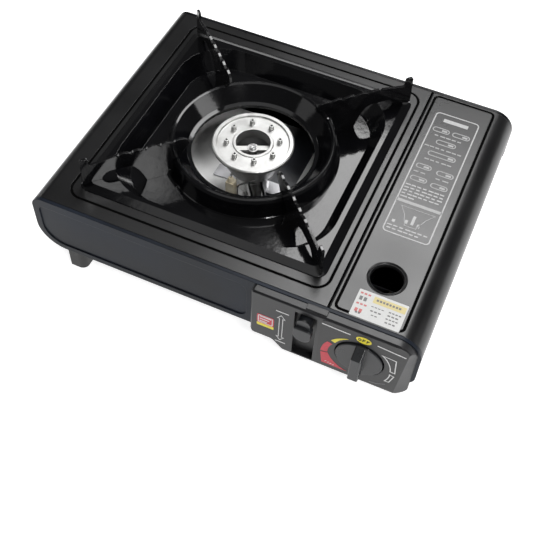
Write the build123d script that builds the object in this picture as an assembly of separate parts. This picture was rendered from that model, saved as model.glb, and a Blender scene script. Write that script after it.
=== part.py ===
from build123d import *
import os
from math import atan2, cos, degrees, hypot, radians, sin

os.makedirs("parts", exist_ok=True)

# ---------------------------------------------------------------------------
# Driving dimensions, millimetres. X runs along the stove's long front, Y from
# the control panel to the back, Z up. Z = 0 is the plane the feet stand on.
# ---------------------------------------------------------------------------
body_length = 340.0
body_depth = 266.0
body_height = 58.3
foot_height = 21.0
sheet = 0.8                    # steel sheet of body, plates, lid and pan
face_gap = 0.3                 # between bodies that pass or rest on each other
running_gap = 0.06             # radial, a turning or sliding shaft in its hole

radius_top_left = 10.0
radius_bottom_left = 25.0
radius_bottom_right = 12.0
radius_top_right = 20.0
end_flange = 3.0               # rim of the two end plates

panel_reach = 7.0              # control panel in front of the end plate
disc_proud = 2.0               # knob disc in front of the panel
grip_proud = 10.0              # knob grip in front of its disc

seam_from_left = 260.65        # edge between the hob plate and the lid
well_centre_from_left = 139.3
well_centre_from_front = 134.6
pan_size = 220.0
pan_rise = 3.3                 # pan flange above the hob plate
pan_depth = 12.0               # pan floor below the hob plate
arm_post_rise = 30.2           # tip of the arm posts above the hob plate

cartridge_diameter = 67.0      # gas cartridge the bay takes
cartridge_length = 184.0
cartridge_clearance = 0.7
cartridge_travel = 6.0         # the lever pushes the cartridge this far

knob_offset = 3.1              # valve stem left of the cartridge's axis
knob_height = 22.0             # axis above the body's bottom edge
knob_diameter = 38.8
lever_from_seam = 12.35
lever_height = 34.5
lever_travel = 18.0

# Places worked out from them
left_x = -body_length / 2
right_x = body_length / 2
bottom_z = foot_height
top_z = foot_height + body_height
front_reach = panel_reach + disc_proud + grip_proud
front_y = front_reach - (body_depth + front_reach) / 2
rear_y = front_y + body_depth
inner_front_y = front_y + sheet
inner_rear_y = rear_y - sheet
seam_x = left_x + seam_from_left
pan_x = left_x + well_centre_from_left
pan_y = front_y + well_centre_from_front
cradle_radius = cartridge_diameter / 2 + cartridge_clearance
partition_x = seam_x - 2.85
cart_x = (partition_x + right_x - 2 * sheet) / 2
cart_z = top_z - sheet - cartridge_clearance - cartridge_diameter / 2
knob_x = cart_x - knob_offset
knob_z = bottom_z + knob_height
lever_x = seam_x - lever_from_seam
lever_z = bottom_z + lever_height
pan_scale = pan_size / 220.0   # ring, basin and arms keep their share of the pan


def write(shape, node):
    """Write one node's solids to its own STEP file."""
    export_step(shape, "parts/" + node + ".step")


def side_plane(y):
    """Drawing plane at a Y place: its first axis is X and its second is Z."""
    return Plane(origin=(0, y, 0), x_dir=(1, 0, 0), z_dir=(0, -1, 0))


def along_y(outline, y_low, y_high):
    """Solid of an X-Z outline between two Y places."""
    return extrude(side_plane(y_high) * outline, amount=y_high - y_low)


def block(x_low, x_high, y_low, y_high, z_low, z_high):
    """Box given by its two corners."""
    middle = ((x_low + x_high) / 2, (y_low + y_high) / 2, (z_low + z_high) / 2)
    return Pos(*middle) * Box(x_high - x_low, y_high - y_low, z_high - z_low)


def rod_y(x, z, radius, y_low, y_high):
    """Round rod along Y."""
    return along_y(Pos(x, z) * Circle(radius), y_low, y_high)


def rod_z(x, y, radius, z_low, z_high):
    """Round rod along Z."""
    return Pos(x, y, (z_low + z_high) / 2) * Cylinder(radius, z_high - z_low)


def corner_box(x_low, x_high, z_low, z_high, radii):
    """Rectangle whose bottom-left, bottom-right, top-right and top-left corners are rounded."""
    corners = [(x_low, z_low), (x_high, z_low), (x_high, z_high), (x_low, z_high)]
    face = make_face(Polyline(*corners, close=True))
    for corner, radius in zip(corners, radii):
        if radius > 0:
            vertex = face.vertices().sort_by_distance(Vector(corner[0], corner[1], 0))[0]
            face = fillet(vertex, radius)
    return face


def soft_square(size, radius, z):
    """Rounded square over the pan's centre at a height."""
    return Pos(pan_x, pan_y, z) * RectangleRounded(size, size, radius)


def turned(points, x, y):
    """Solid of an (r, z) outline turned about an upright axis."""
    profile = Plane.XZ * make_face(Polyline(*points, close=True))
    return Pos(x, y, 0) * revolve(profile, Axis.Z)


def pipe(points, radius, bend):
    """Round bar along straight runs joined by bends."""
    path = FilletPolyline(*points, radius=bend) if len(points) > 2 else Line(*points)
    section = Plane(origin=path @ 0, z_dir=path % 0) * Circle(radius)
    return sweep(section, path=path)


# ---------------------------------------------------------------------------
# Body
# ---------------------------------------------------------------------------
def body_outline(inset):
    """Cross section of the body: a rounded box with a round bulge under the cartridge."""
    radii = (radius_bottom_left - inset, radius_bottom_right - inset,
             radius_top_right - inset, radius_top_left - inset)
    box = corner_box(left_x + inset, right_x - inset, bottom_z + inset, top_z - inset, radii)
    bulge_radius = cradle_radius + 2 * sheet - inset
    half = Pos(cart_x, cart_z - bulge_radius / 2) * Rectangle(2 * bulge_radius, bulge_radius)
    bulge = Pos(cart_x, cart_z) * Circle(bulge_radius) & half
    return box + bulge


left_wall_top = top_z - radius_top_left - 4.0
sill_z = bottom_z + 30.0
sill_width = 4.0
vent_count = 5
vent_pitch = 24.0
vent_width = 5.0
vent_length = 34.0
vent_row = 62.0                # each row of vents from the burner's axis


def make_base_shell():
    """Bottom, left wall, right sill and cartridge trough, bent from one sheet."""
    shell = along_y(body_outline(sheet) - body_outline(2 * sheet), inner_front_y, inner_rear_y)
    shell -= block(left_x - 1, right_x + 1, front_y - 1, rear_y + 1, left_wall_top, top_z + 1)
    shell -= block(0, right_x + 1, front_y - 1, rear_y + 1, sill_z, top_z + 1)
    wall_x = right_x - sheet
    shell += block(wall_x - sill_width, wall_x, inner_front_y, inner_rear_y, sill_z - sheet, sill_z)
    for side in (-1, 1):
        for step in range(vent_count):
            vent_x = pan_x + vent_pitch * (step - (vent_count - 1) / 2)
            vent_y = pan_y + side * vent_row
            shell -= Pos(vent_x, vent_y, bottom_z) * Box(vent_width, vent_length, 6)
    for y_front in (foot_front, foot_rear - foot_depth):
        shell -= rod_z(foot_screw_x, y_front + foot_depth / 2, foot_screw_radius, 0, bottom_z + 5)
    return shell


emboss_depth = 1.0
emboss_left = left_x + 5.0
emboss_right = lever_x - 52.3
emboss_low = bottom_z + 4.8
emboss_high = top_z - 8.0
emboss_radii = (20.0, 9.0, 9.0, 6.0)
stem_hole_radius = 6.0
lever_slot_width = 8.0
lever_slot_low = bottom_z + 2.0
lever_slot_high = top_z - 15.0
panel_screw_z = top_z - 20.0
panel_screw_left = lever_x - 38.3
panel_screw_right = right_x - 18.5
panel_screw_radius = 1.5


def end_plate(y_face, inward):
    """Pressed end plate: a flat face with a rim bent inwards. inward is +1 or -1 along Y."""
    y_back = y_face + inward * sheet
    y_rim = y_face + inward * end_flange
    plate = along_y(body_outline(0), min(y_face, y_back), max(y_face, y_back))
    rim = along_y(body_outline(0) - body_outline(sheet), min(y_face, y_rim), max(y_face, y_rim))
    return plate + rim


def emboss(plate, x_low, x_high, y_face, inward):
    """Press a shallow rounded panel into an end plate."""
    outer = corner_box(x_low, x_high, emboss_low, emboss_high, emboss_radii)
    inner = corner_box(x_low + sheet, x_high - sheet, emboss_low + sheet, emboss_high - sheet,
                       [radius - sheet for radius in emboss_radii])
    y_deep = y_face + inward * (emboss_depth + sheet)
    y_floor = y_face + inward * emboss_depth
    y_skin = y_face + inward * sheet
    plate -= along_y(outer, min(y_face, y_skin), max(y_face, y_skin))
    plate += along_y(outer, min(y_face, y_deep), max(y_face, y_deep))
    plate -= along_y(inner, min(y_face, y_floor), max(y_face, y_floor))
    return plate


def make_front_plate():
    """Front end plate, with the pressed panel, the valve hole and the lever slot."""
    plate = emboss(end_plate(front_y, 1), emboss_left, emboss_right, front_y, 1)
    plate -= rod_y(knob_x, knob_z, stem_hole_radius, front_y - 1, inner_front_y + 1)
    plate -= block(lever_x - lever_slot_width / 2, lever_x + lever_slot_width / 2,
                   front_y - 1, inner_front_y + 1, lever_slot_low, lever_slot_high)
    for x in (panel_screw_left, panel_screw_right):
        plate -= rod_y(x, panel_screw_z, panel_screw_radius, front_y - 1, inner_front_y + 1)
    return plate


def make_rear_plate():
    """Rear end plate, with one long pressed panel behind the hob and vents behind the bay."""
    plate = emboss(end_plate(rear_y, -1), emboss_left, seam_x - 12.0, rear_y, -1)
    for step in range(5):
        vent = block(cart_x - 14, cart_x + 14, inner_rear_y - 1, rear_y + 1,
                     cart_z - 18 + 8 * step, cart_z - 15 + 8 * step)
        plate -= vent
    return plate


well_half = pan_size / 2 - 8.5
well_radius = 44.0
skirt_low = bottom_z + 37.0
bead_width = 2.3
bead_depth = 0.9


def loop_band(x_low, x_high, y_low, y_high, radius, width, z_low, z_high):
    """Upright band of a given width that follows a rounded rectangle."""
    across = x_high - x_low
    along = y_high - y_low
    centre = Pos((x_low + x_high) / 2, (y_low + y_high) / 2, z_low)
    outer = RectangleRounded(across + width, along + width, radius + width / 2)
    inner = RectangleRounded(across - width, along - width, radius - width / 2)
    return extrude(centre * (outer - inner), amount=z_high - z_low)


def pressed_bead(plate, x_low, x_high, y_low, y_high, radius):
    """Press a bead into a top sheet: a groove above and its backing below."""
    corners = (x_low, x_high, y_low, y_high, radius)
    low = top_z - bead_depth
    plate += loop_band(*corners, bead_width + 2 * sheet, low - sheet, top_z - sheet / 2)
    return plate - loop_band(*corners, bead_width, low, top_z + 1)


def make_top_plate():
    """Hob plate: flat top rolled down at the left, with the square well for the pan."""
    y_low = front_y + end_flange + face_gap
    y_high = rear_y - end_flange - face_gap
    outer = corner_box(left_x, seam_x, skirt_low, top_z, (0, 0, 0, radius_top_left))
    inner = corner_box(left_x + sheet, seam_x - sheet, skirt_low - 5, top_z - sheet,
                       (0, 0, 0, radius_top_left - sheet))
    plate = along_y(outer - inner, y_low, y_high)
    lip = 4.0
    plate -= block(0, seam_x + 1, y_low - 1, y_high + 1, skirt_low - 1, top_z - lip)
    well = soft_square(2 * well_half, well_radius, top_z - 5)
    plate -= extrude(well, amount=10)
    half = pan_size / 2
    return pressed_bead(plate, pan_x - half - 4.7, pan_x + half + 4.7,
                        pan_y - half - 9.0, pan_y + half + 9.0, 12.0)


tube_z = bottom_z + 16.0
tube_radius = 8.0
tube_wall = 0.9
pipe_y = front_y + 31.0
pipe_radius = 1.6
pin_y = front_y + 19.5
pin_z = lever_z + 4.5
pin_radius = 1.5
pin_gap = 0.4
wire_radius = 1.1
wire_y = inner_front_y + 4.5
wire_z = bottom_z + 12.0


def make_partition():
    """Upright heat wall between the burner chamber and the cartridge bay."""
    floor_z = bottom_z + 2 * sheet
    wall = block(partition_x, partition_x + sheet, inner_front_y, inner_rear_y,
                 floor_z, top_z - sheet)
    foot = block(partition_x - 10, partition_x, front_y + 12, rear_y - 12,
                 floor_z, floor_z + sheet)
    wall = wall + foot
    hole = Pos(partition_x, pipe_y, tube_z) * Rot(0, 90, 0) * Cylinder(pipe_radius + 0.4, 10)
    hole += Pos(partition_x, wire_y, wire_z) * Rot(0, 90, 0) * Cylinder(wire_radius, 10)
    pin_slot = block(partition_x - 1, partition_x + 2, pin_y - pin_radius - pin_gap,
                     pin_y + pin_radius + pin_gap, pin_z - lever_travel - pin_radius - pin_gap,
                     pin_z + pin_radius + pin_gap)
    return wall - hole - pin_slot


reflector_z = bottom_z + 6.0


def make_reflector():
    """Bright heat reflector under the burner, raised on two folded feet."""
    half_x = well_half - 21.5
    half_y = well_half - 19.5
    plate = block(pan_x - half_x, pan_x + half_x, pan_y - half_y, pan_y + half_y,
                  reflector_z - sheet, reflector_z)
    for side in (-1, 1):
        edge = pan_y + side * half_y
        wall_low = min(edge, edge - side * sheet)
        plate += block(pan_x - half_x, pan_x + half_x, wall_low, wall_low + sheet,
                       bottom_z + 2 * sheet, reflector_z)
    rib_reach = half_y - 10.0
    for offset in (-22.0, 41.0):
        for side in (-1, 1):
            near = pan_y + side * 9.0
            far = pan_y + side * rib_reach
            plate += block(pan_x + offset - 3.2, pan_x + offset + 3.2, min(near, far), max(near, far),
                           reflector_z, reflector_z + 1.6)
    notch = block(pan_x - 30, pan_x - 19, pan_y + half_y - 12, pan_y + half_y - 4,
                  reflector_z - 1, reflector_z + 2)
    return plate - notch


foot_width = 14.5
foot_depth = 20.0
foot_corner = 6.0
foot_screw_radius = 2.0
foot_front = front_y + 0.3
foot_rear = rear_y - 0.3
left_foot_x = left_x + 26.0
right_foot_x = right_x - 54.0
foot_screw_x = left_foot_x + foot_width / 2


def make_foot(x_low, y_front, has_screw):
    """Moulded foot with a square front and a rounded inner side, cut to the body's underside."""
    outline = make_face(Polyline((x_low, y_front), (x_low + foot_width, y_front),
                                 (x_low + foot_width, y_front + foot_depth),
                                 (x_low, y_front + foot_depth), close=True))
    side = outline.vertices().group_by(Axis.X)[-1]
    outline = fillet(side, foot_corner)
    foot = extrude(outline, amount=bottom_z + 8.0)
    foot -= along_y(body_outline(sheet), inner_front_y, inner_rear_y)
    for y_edge in (front_y, rear_y):
        foot -= along_y(body_outline(0), y_edge - end_flange - 0.2, y_edge + end_flange + 0.2)
    if has_screw:
        y_mid = y_front + foot_depth / 2
        foot -= rod_z(x_low + foot_width / 2, y_mid, 5.0, -1, 14.0)
        foot -= rod_z(x_low + foot_width / 2, y_mid, foot_screw_radius, 0, bottom_z + 5)
    return foot


def make_foot_screws():
    """Screws up through the left feet, with their nuts inside the body."""
    solids = []
    for y_front in (foot_front, foot_rear - foot_depth):
        y_mid = y_front + foot_depth / 2
        head = rod_z(foot_screw_x, y_mid, 4.0, 11.5, 14.0)
        shank = rod_z(foot_screw_x, y_mid, foot_screw_radius, 14.0, bottom_z + 5.5)
        nut = rod_z(foot_screw_x, y_mid, 4.0, bottom_z + 2 * sheet, bottom_z + 4.6)
        solids.append(head + shank + nut)
    return Compound(solids)


# ---------------------------------------------------------------------------
# Burner
# ---------------------------------------------------------------------------
burner_rim_z = top_z + 0.7
burner_rim_radius = 35.8
burner_face_radius = 31.2
burner_hole_radius = 15.2
jet_circle = 23.2
jet_count = 8
burner_turn = 26.0             # first jet and the cross bar, turned from the X axis
cup_low_z = 46.0
bar_drop = 9.0                 # cross bar below the head's face
port_count = 40


def make_burner_cap():
    """Aluminium burner head: bright rim, sunk face, eight jets, open centre with a cross bar."""
    face_z = burner_rim_z - 1.6
    wall_low = face_z - bar_drop
    cap = turned([(burner_hole_radius, wall_low), (burner_hole_radius + 1.6, wall_low),
                  (burner_hole_radius + 1.6, face_z - 3.2), (burner_rim_radius - 2.4, face_z - 3.2),
                  (burner_rim_radius, burner_rim_z - 3.0), (burner_rim_radius, burner_rim_z - 0.9),
                  (burner_rim_radius - 1.0, burner_rim_z), (burner_face_radius + 0.6, burner_rim_z),
                  (burner_face_radius, face_z), (burner_hole_radius + 2.8, face_z),
                  (burner_hole_radius + 2.2, face_z + 0.9), (burner_hole_radius, face_z + 0.9)],
                 pan_x, pan_y)
    for step in range(jet_count):
        angle = radians(burner_turn + 360.0 * step / jet_count)
        jet_x = pan_x + jet_circle * cos(angle)
        jet_y = pan_y + jet_circle * sin(angle)
        jet = Pos(jet_x, jet_y, face_z + 2.0) * Cone(2.5, 2.1, 4.8)
        cap += jet
        cap -= rod_z(jet_x, jet_y, 1.0, face_z - 4, face_z + 5)
    bar = Box(2 * burner_hole_radius + 2, 5.2, 2.4)
    bar = Pos(pan_x, pan_y, wall_low + 1.4) * Rot(0, 0, burner_turn) * bar
    hub = rod_z(pan_x, pan_y, 5.0, wall_low - 0.4, wall_low + 3.0)
    cap += bar + hub
    cap -= rod_z(pan_x, pan_y, 1.6, wall_low - 2, wall_low + 4)
    return cap


def make_burner_cup():
    """Tapered mixing cup under the head, with the side mouth for the mixing tube."""
    rim_low = burner_rim_z - 4.8
    cup = turned([(10.0, cup_low_z), (17.0, cup_low_z), (22.0, cup_low_z + 5), (31.0, rim_low - 4),
                  (33.2, rim_low), (30.8, rim_low), (28.5, rim_low - 3.4),
                  (20.2, cup_low_z + 6), (16.0, cup_low_z + 2), (10.0, cup_low_z + 2)], pan_x, pan_y)
    post = rod_z(pan_x, pan_y, 4.0, cup_low_z, burner_rim_z - 2.0 - bar_drop)
    spokes = Pos(pan_x, pan_y, cup_low_z + 1.0) * Box(24, 5, 2)
    cup += post + spokes
    cup -= rod_z(pan_x, pan_y, 1.6, cup_low_z - 1, burner_rim_z)
    port = Pos(32.0, 0, rim_low) * Box(6.0, 1.6, 3.2)
    cup -= [Pos(pan_x, pan_y, 0) * Rot(0, 0, 360.0 * step / port_count) * port
            for step in range(port_count)]
    return cup


def make_burner_screw():
    """Screw that holds the head down on the cup's centre post."""
    head_low = burner_rim_z - 1.6 - bar_drop + 3.0
    screw = rod_z(pan_x, pan_y, 1.6, cup_low_z + 4, head_low)
    screw += rod_z(pan_x, pan_y, 3.2, head_low, head_low + 1.8)
    for turn in (0, 90):
        slot = Pos(pan_x, pan_y, head_low + 1.6) * Rot(0, 0, turn) * Box(3.6, 0.8, 1.6)
        screw -= slot
    return screw


riser_radius = 15.0
riser_low = tube_z - tube_radius - 0.5
mouth_x = partition_x - 26.0
flare_length = 8.0
flare_growth = 3.0


def make_mixing_tube():
    """Bright tube from the injector to the burner cup, flared at the open end."""
    knee_x = pan_x + 70.0
    path = [(pan_x + 6.0, pan_y - 9.0, tube_z), (knee_x, pipe_y, tube_z), (mouth_x, pipe_y, tube_z)]
    inside = tube_radius - tube_wall
    tube = pipe(path, tube_radius, 30.0) + rod_z(pan_x, pan_y, riser_radius, riser_low, cup_low_z)
    tube -= pipe(path, inside, 30.0)
    tube -= rod_z(pan_x, pan_y, riser_radius - tube_wall, riser_low + tube_wall, cup_low_z + 1)
    rim_x = mouth_x + flare_length
    profile = make_face(Polyline((mouth_x, inside), (mouth_x, tube_radius),
                                 (rim_x, tube_radius + flare_growth), (rim_x, inside + flare_growth),
                                 close=True))
    flare = Pos(0, pipe_y, tube_z) * revolve(profile, Axis.X)
    return tube + flare


injector_x = partition_x - 20.0
injector_bore = 0.9


def make_injector():
    """Brass injector in front of the mixing tube's mouth."""
    nozzle = Pos(injector_x + 5, pipe_y, tube_z) * Rot(0, 90, 0) * Cone(2.2, 3.6, 10)
    hexagon = Pos(injector_x + 12, pipe_y, tube_z) * Rot(0, 90, 0) * extrude(
        RegularPolygon(4.6, 6), amount=4, both=True)
    bore = Pos(injector_x + 8, pipe_y, tube_z) * Rot(0, 90, 0) * Cylinder(injector_bore, 30)
    return nozzle + hexagon - bore


def make_injector_bracket():
    """Folded bracket that carries the injector on the partition's foot."""
    x_low = injector_x + 16.0
    floor_z = bottom_z + 3 * sheet
    upright = block(x_low, x_low + 1.2, pipe_y - 6, pipe_y + 6, floor_z, tube_z + 8)
    sole = block(x_low - 5.0, x_low, pipe_y - 6, pipe_y + 6, floor_z, floor_z + 1.2)
    hole = Pos(x_low, pipe_y, tube_z) * Rot(0, 90, 0) * Cylinder(pipe_radius, 10)
    return upright + sole - hole


def make_gas_pipe():
    """Thin pipe from the regulator through the partition and its bracket to the injector."""
    x_low = injector_x + 16.0
    x_high = cart_x - 13.0
    pipe_rod = Pos((x_low + x_high) / 2, pipe_y, tube_z) * Rot(0, 90, 0) * Cylinder(
        pipe_radius, x_high - x_low)
    return pipe_rod - rod_y(cart_x, cart_z, regulator_radius, regulator_front, regulator_rear)


strap_half = 36.0
strap_middle = 27.0
strap_sheet = 1.0


def make_burner_bracket():
    """Hat-shaped steel strap under the burner's riser, standing on the reflector."""
    top = riser_low
    strap = block(pan_x - strap_middle, pan_x + strap_middle, pan_y - 7, pan_y + 7,
                  top - strap_sheet, top)
    for side in (-1, 1):
        inner = pan_x + side * strap_middle
        outer = pan_x + side * strap_half
        bend = inner - side * strap_sheet
        strap += block(min(inner, outer), max(inner, outer), pan_y - 7, pan_y + 7,
                       reflector_z, reflector_z + strap_sheet)
        strap += block(min(inner, bend), max(inner, bend), pan_y - 7, pan_y + 7, reflector_z, top)
    return strap


electrode_x = pan_x - 3.1
electrode_y = pan_y - 38.5


def make_electrode_ceramic():
    """Cream ceramic insulator of the spark electrode, square below and turned above."""
    body = block(electrode_x - 3.6, electrode_x + 3.6, electrode_y - 3.6, electrode_y + 3.6,
                 reflector_z, top_z - 12.5)
    neck = Pos(electrode_x, electrode_y, top_z - 10.5) * Cone(3.2, 2.2, 4.0)
    return body + neck - rod_z(electrode_x, electrode_y, 0.8, 0, top_z)


def make_electrode_tip():
    """Spark wire through the ceramic, bent over towards the burner ports."""
    low = reflector_z + 2.5
    high = top_z - 5.5
    wire = rod_z(electrode_x, electrode_y, 0.8, low, high)
    hook = Pos(electrode_x, electrode_y + 0.4, high) * Box(1.6, 2.4, 1.4)
    return wire + hook


def make_electrode_clip():
    """Folded clip that holds the ceramic on the reflector, with its earth finger."""
    sole = block(electrode_x - 12, electrode_x - 3.6, electrode_y - 4, electrode_y + 4,
                 reflector_z, reflector_z + 1.0)
    upright = block(electrode_x - 4.6, electrode_x - 3.6, electrode_y - 4, electrode_y + 4,
                    reflector_z, reflector_z + 14)
    finger = block(electrode_x - 3.6, electrode_x + 3.6, electrode_y + 3.6, electrode_y + 4.6,
                   reflector_z + 6, reflector_z + 10)
    side = block(electrode_x - 4.6, electrode_x - 3.6, electrode_y + 3.6, electrode_y + 4.6,
                 reflector_z, reflector_z + 14)
    return sole + upright + finger + side


def make_flame_rod():
    """Thin bright rod from the electrode's foot up to the burner's ports."""
    start = (electrode_x + 5.5, electrode_y + 1.0, reflector_z)
    knee = (electrode_x + 5.5, electrode_y + 1.0, top_z - 17.0)
    end = (electrode_x + 19.0, electrode_y + 8.5, top_z - 11.0)
    return pipe([start, knee, end], 0.8, 3.0)


# ---------------------------------------------------------------------------
# Gas valve, ignition and their drives
# ---------------------------------------------------------------------------
stop_y = front_y + 55.0
cartridge_front_y = stop_y + sheet + cartridge_travel + face_gap
cartridge_rear_y = cartridge_front_y + cartridge_length
stem_radius = 4.0
regulator_radius = 16.0
regulator_front = inner_front_y + 8.0
regulator_rear = stop_y - 10.0
regulator_mid = (regulator_front + regulator_rear) / 2


def make_regulator_body():
    """Die-cast gas regulator on three posts behind the end plate, bored for the valve stem."""
    drum = rod_y(cart_x, cart_z, regulator_radius, regulator_front, regulator_rear)
    pad = rod_z(cart_x, regulator_mid, 12.0, cart_z, cart_z + regulator_radius + 2.0)
    body = drum + pad
    for across, up in ((12.0, 10.0), (10.0, -12.0), (-8.0, 13.5)):
        body += rod_y(cart_x + across, cart_z + up, 3.0, inner_front_y, regulator_front + 4.0)
    return body - rod_y(knob_x, knob_z, stem_radius + running_gap,
                        regulator_front - 1, regulator_front + 12.0)


def make_regulator_cover():
    """Pressed cover of the regulator's diaphragm, with its rolled rim."""
    z_low = cart_z + regulator_radius + 2.0
    return turned([(0, z_low), (15.0, z_low), (15.0, z_low + 2.4), (10.0, z_low + 2.4),
                   (9.0, z_low + 6.0), (0, z_low + 6.0)], cart_x, regulator_mid)


def make_regulator_nozzle():
    """Brass inlet that the cartridge's valve seats on."""
    nozzle = rod_y(cart_x, cart_z, 7.5, regulator_rear, regulator_rear + 4.0)
    nozzle += rod_y(cart_x, cart_z, 4.2, regulator_rear + 4.0, stop_y + 3.0)
    return nozzle - rod_y(cart_x, cart_z, 1.6, regulator_rear + 2.0, stop_y + 6.0)


stop_hole_radius = 9.0


def make_cartridge_stop():
    """Plate that the cartridge's collar is pushed against, with its locating tongue and legs."""
    plate = along_y(Pos(cart_x, cart_z) * Circle(cradle_radius), stop_y, stop_y + sheet)
    plate -= rod_y(cart_x, cart_z, stop_hole_radius, stop_y - 1, stop_y + 2)
    plate -= block(cart_x - 40, cart_x + 40, stop_y - 1, stop_y + 2, cart_z + 10, top_z)
    tongue = block(cart_x - 3.0, cart_x + 3.0, stop_y + sheet, stop_y + 5.0,
                   cart_z - 17.2, cart_z - 16.0)
    for side in (-1, 1):
        x_in = cart_x + side * (regulator_radius + 1.0)
        x_out = x_in + side * 1.2
        plate += block(min(x_in, x_out), max(x_in, x_out), regulator_mid, stop_y,
                       cart_z - 4.0, cart_z + 4.0)
        x_wall = cart_x + side * 12.0
        plate += block(min(x_out, x_wall), max(x_out, x_wall), regulator_mid - 1.2, regulator_mid,
                       cart_z - 4.0, cart_z + 4.0)
    drum = rod_y(cart_x, cart_z, regulator_radius, regulator_front, regulator_rear)
    pad = rod_z(cart_x, regulator_mid, 12.0, cart_z, cart_z + regulator_radius + 2.0)
    return plate + tongue - drum - pad


cam_small = 7.0
cam_large = 10.0
cam_sweep = 110.0
cam_y_low = inner_front_y + 1.4
cam_y_high = inner_front_y + 6.4
plunger_radius = 2.0
plunger_gap = 0.5


def make_valve_stem():
    """Valve stem: turns with the knob in the regulator's bore."""
    return rod_y(knob_x, knob_z, stem_radius, front_y - panel_reach + 1.0, regulator_front + 11.0)


def make_ignition_cam():
    """Cam on the stem whose radius grows evenly over the knob's turn, to cock the igniter."""
    points = []
    steps = 44
    for step in range(steps + 1):
        swept = cam_sweep * step / steps
        radius = cam_small + (cam_large - cam_small) * swept / cam_sweep
        angle = radians(180.0 - swept)
        points.append((knob_x + radius * cos(angle), knob_z + radius * sin(angle)))
    rest = 360.0 - cam_sweep
    for step in range(1, steps):
        turned_by = rest * step / steps
        fade = min(1.0, turned_by / 60.0)
        radius = cam_large + (cam_small - cam_large) * fade
        angle = radians(180.0 - cam_sweep - turned_by)
        points.append((knob_x + radius * cos(angle), knob_z + radius * sin(angle)))
    outline = make_face(Polyline(*points, close=True)) - Pos(knob_x, knob_z) * Circle(stem_radius)
    return along_y(outline, cam_y_low, cam_y_high)


def make_igniter():
    """Piezo igniter's plastic housing, screwed behind the end plate and bored for its plunger."""
    x_low = partition_x + sheet + 3.4
    x_high = knob_x - 14.5
    housing = block(x_low, x_high, inner_front_y, inner_front_y + 9.0, knob_z - 6, knob_z + 6)
    bore = Pos(x_high - 8, (cam_y_low + cam_y_high) / 2, knob_z) * Rot(0, 90, 0) * Cylinder(
        plunger_radius + running_gap, 20)
    return housing - bore


def make_igniter_plunger():
    """Spring plunger that the cam pushes into the igniter."""
    tip_x = knob_x - cam_small - plunger_gap
    length = 9.5
    y_mid = (cam_y_low + cam_y_high) / 2
    return Pos(tip_x - length / 2, y_mid, knob_z) * Rot(0, 90, 0) * Cylinder(plunger_radius, length)


def make_ignition_wire():
    """Insulated lead from under the igniter, through the partition, to the electrode's foot."""
    x_start = partition_x + sheet + 10.0
    end_y = electrode_y - 2.0
    return pipe([(x_start, wire_y, knob_z - 6.0), (x_start, wire_y, wire_z),
                 (pan_x + 60.0, wire_y, wire_z), (electrode_x + 10.0, end_y, wire_z),
                 (electrode_x + 3.6, end_y, wire_z)], wire_radius, 3.0)


# ---------------------------------------------------------------------------
# Control panel, knob and lever
# ---------------------------------------------------------------------------
panel_left = lever_x - 46.3
panel_right = right_x - 3.0
panel_inner_right = right_x - 13.0
bevel_low = right_x - 13.0     # front edge of the slanted right end, at the bottom
bevel_high = right_x - 8.0     # and at the top
dial_left = lever_x + 11.9
panel_low = bottom_z - 10.8
panel_step_low = bottom_z - 1.2
panel_step_x = panel_left + 19.0
panel_deep_x = panel_left + 28.5
panel_top = top_z - 0.5
panel_wall = 2.0
panel_y = front_y - panel_reach
knob_gap = 1.0
recess_width = 18.0
recess_low = bottom_z - 8.0
recess_high = top_z - 6.5
guide_slot_width = 6.0
guide_slot_low = lever_z - lever_travel - 6.5
guide_slot_high = lever_z + 8.0


def panel_outline(inset, right, top_radius):
    """Outline of the control panel: a long plate, deeper below the cartridge bay."""
    corners = [(panel_left + inset, panel_step_low + inset), (panel_step_x, panel_step_low + inset),
               (panel_deep_x, panel_low + inset), (right, panel_low + inset),
               (right, panel_top - inset), (panel_left + inset, panel_top - inset)]
    face = make_face(Polyline(*corners, close=True))
    for corner, radius in zip(corners, (4.0, 5.0, 5.0, 5.0, top_radius, 2.5)):
        vertex = face.vertices().sort_by_distance(Vector(corner[0], corner[1], 0))[0]
        face = fillet(vertex, radius)
    return face


def panel_bevel():
    """Wedge that cuts the slanted facet at the panel's right end, wider at the bottom."""
    sections = []
    for z, edge in ((panel_low - 1, bevel_low), (panel_top + 1, bevel_high)):
        run = panel_right - edge
        corners = [(edge - 0.3 * run, panel_y - 0.3 * panel_reach),
                   (panel_right + 0.3 * run, front_y + 0.3 * panel_reach),
                   (panel_right + 0.3 * run, panel_y - 0.3 * panel_reach)]
        sections.append(Pos(0, 0, z) * make_face(Polyline(*corners, close=True)))
    return loft(sections, ruled=True)


def make_control_panel():
    """Moulded control panel, open at the back, with the knob's round well and the lever's slot."""
    panel = along_y(panel_outline(0, panel_right, 17.0), panel_y, front_y)
    front_edges = panel.faces().sort_by(Axis.Y)[0].outer_wire().edges()
    panel = chamfer(front_edges, 1.4)
    panel -= panel_bevel()
    panel -= along_y(panel_outline(panel_wall, panel_inner_right, 8.0),
                     panel_y + panel_wall, front_y + 1)
    panel += block(lever_x - 1.5, lever_x + 15.5, panel_y + 2.0, front_y, panel_top - 1, panel_top + 1.2)
    panel -= rod_y(knob_x, knob_z, knob_diameter / 2 + knob_gap, panel_y - 1, front_y + 1)
    panel -= block(lever_x - recess_width / 2, lever_x + recess_width / 2, panel_y - 1, front_y + 1,
                   recess_low, recess_high)
    return panel


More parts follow.
